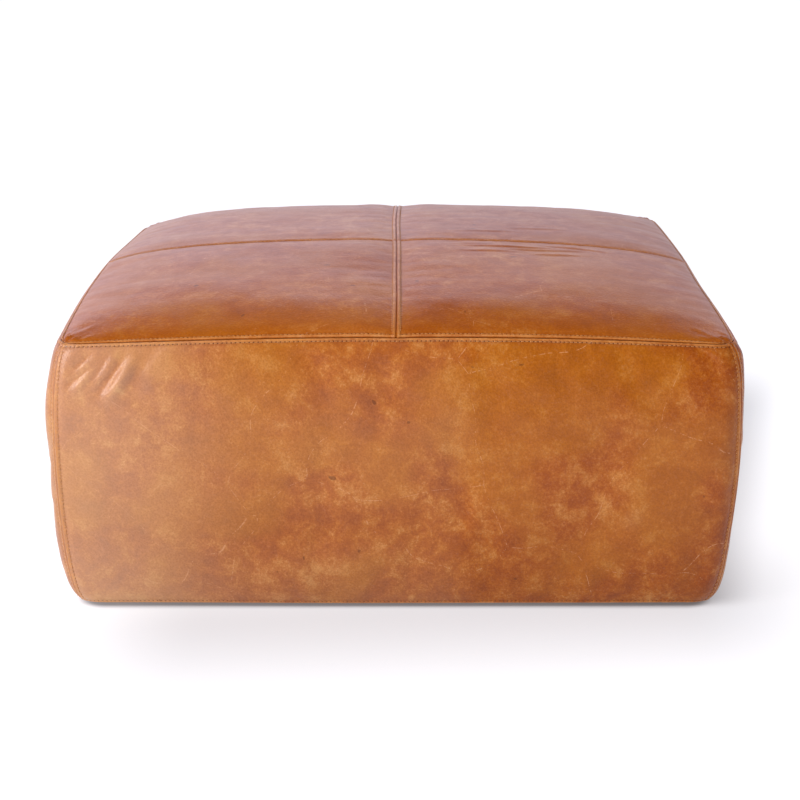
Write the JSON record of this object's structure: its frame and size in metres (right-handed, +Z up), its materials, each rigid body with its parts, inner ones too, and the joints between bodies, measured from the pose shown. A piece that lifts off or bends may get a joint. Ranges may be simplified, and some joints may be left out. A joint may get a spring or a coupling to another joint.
{
  "type": "square leather pouf",
  "caption": "Low square floor pouf in waxed tan leather, with a four-part crowned top, bulging sides, double-stitched seams and a zipped, foam-filled cover.",
  "frame": {"origin": "centre of the underside, on the floor", "axes": "+Z up through the crown, -Y out of the front side panel, +X to the right seen from the front, along the zip and towards its closed end"},
  "size_m": [0.8084, 0.8084, 0.3714],
  "materials": {
    "leather": "waxed aniline, soft semi-gloss, mottled with light scratches",
    "thread": "bonded polyester thread, tan",
    "seam_tape": "woven cotton tape",
    "zip_cloth": "woven polyester zip tape, dark brown",
    "zip_nylon": "nylon coil, dark brown",
    "zip_metal": "antique brass, worn",
    "lining": "plain unbleached cotton",
    "wadding": "polyester fibre",
    "foam": "open-cell polyurethane foam"
  },
  "bodies": {
    "cover": {"top_panel_front_right": "leather", "top_panel_back_right": "leather", "top_panel_back_left": "leather", "top_panel_front_left": "leather", "front_panel": "leather", "right_panel": "leather", "back_panel": "leather", "left_panel": "leather", "base_panel_front": "leather", "base_panel_back": "leather", "seam_tape_top_front_back": "seam_tape", "seam_tape_top_left": "seam_tape", "seam_tape_top_right": "seam_tape", "seam_tape_perimeter": "seam_tape", "seam_tape_base": "seam_tape", "corner_tape_front_right": "seam_tape", "corner_tape_back_right": "seam_tape", "corner_tape_back_left": "seam_tape", "corner_tape_front_left": "seam_tape", "stitching_top_front_back": "thread", "stitching_top_left_right": "thread", "stitching_perimeter_upper": "thread", "stitching_perimeter_lower": "thread", "stitching_corners": "thread", "stitching_zip": "thread", "zip_tape_front": "zip_cloth", "zip_tape_back": "zip_cloth", "zip_coil_front": "zip_nylon", "zip_coil_back": "zip_nylon", "zip_bottom_stop": "zip_metal", "zip_top_stops": "zip_metal", "zip_guard": "zip_cloth", "lining_top": "lining", "lining_band": "lining", "lining_base": "lining", "wadding_top": "wadding", "wadding_band": "wadding", "foam_topper": "foam", "foam_core": "foam"},
    "slider": {"zip_slider": "zip_metal"},
    "pull_tab": {"zip_pull_tab": "zip_metal"}
  },
  "joints": [
    {"name": "zip_travel", "type": "slide", "parent": "cover", "child": "slider", "axis": [-1, 0, 0], "range_m": [0, 0.52]},
    {"name": "pull_tab_swing", "type": "hinge", "parent": "slider", "child": "pull_tab", "pos_m": [0.259, 0, 0.00345], "axis": [0, -1, 0], "range_deg": [0, 175]}
  ]
}
